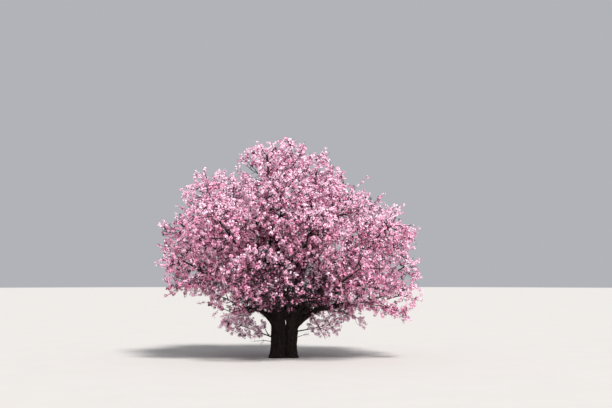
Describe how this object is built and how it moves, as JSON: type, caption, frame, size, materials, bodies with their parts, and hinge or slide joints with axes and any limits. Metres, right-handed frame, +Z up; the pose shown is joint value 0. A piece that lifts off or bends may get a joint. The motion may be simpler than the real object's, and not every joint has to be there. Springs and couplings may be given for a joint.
{
  "type": "cherry blossom tree",
  "caption": "Broad, round-headed cherry tree in full pink blossom on a short trunk that splits at once into upright stems and spreading boughs.",
  "frame": {"origin": "middle of the flat cut under the trunk, at ground level", "axes": "+Z up, +X to the right as the picture sees the tree, -Y towards the camera"},
  "size_m": [9.5791, 8.4665, 8.032],
  "materials": {
    "bark": "rough, nearly black bark",
    "blossom_pale": "matt petals",
    "blossom_pink": "matt petals",
    "blossom_rose": "matt petals",
    "blossom_deep": "matt petals"
  },
  "bodies": {
    "root": {"trunk": "bark", "leader_right": "bark", "leader_back": "bark", "leader_left": "bark", "bough_skirt_1": "bark", "bough_skirt_2": "bark", "bough_skirt_3": "bark", "bough_skirt_4": "bark", "bough_skirt_5": "bark", "bough_low_1": "bark", "bough_low_2": "bark", "bough_low_3": "bark", "bough_low_4": "bark", "bough_low_5": "bark", "bough_low_6": "bark", "bough_low_7": "bark", "bough_middle_1": "bark", "bough_middle_2": "bark", "bough_middle_3": "bark", "bough_middle_4": "bark", "bough_middle_5": "bark", "bough_middle_6": "bark", "bough_middle_7": "bark", "bough_shoulder_1": "bark", "bough_shoulder_2": "bark", "bough_shoulder_3": "bark", "bough_shoulder_4": "bark", "bough_shoulder_5": "bark", "bough_crest_1": "bark", "blossom_skirt_1": "blossom_deep", "blossom_skirt_2": "blossom_deep", "blossom_skirt_3": "blossom_deep", "blossom_skirt_4": "blossom_deep", "blossom_skirt_5": "blossom_deep", "blossom_low_1": "blossom_rose", "blossom_low_2": "blossom_rose", "blossom_low_3": "blossom_rose", "blossom_low_4": "blossom_rose", "blossom_low_5": "blossom_rose", "blossom_low_6": "blossom_rose", "blossom_low_7": "blossom_rose", "blossom_middle_1": "blossom_pink", "blossom_middle_2": "blossom_pink", "blossom_middle_3": "blossom_pink", "blossom_middle_4": "blossom_pink", "blossom_middle_5": "blossom_pink", "blossom_middle_6": "blossom_pink", "blossom_middle_7": "blossom_pink", "blossom_shoulder_1": "blossom_pink", "blossom_shoulder_2": "blossom_pink", "blossom_shoulder_3": "blossom_pink", "blossom_shoulder_4": "blossom_pink", "blossom_shoulder_5": "blossom_pink", "blossom_top_1": "blossom_pale", "blossom_top_2": "blossom_pale", "blossom_top_3": "blossom_pale", "blossom_crest_1": "blossom_pale", "blossom_shoot_left": "blossom_deep", "blossom_shoot_right": "blossom_deep"}
  },
  "joints": []
}
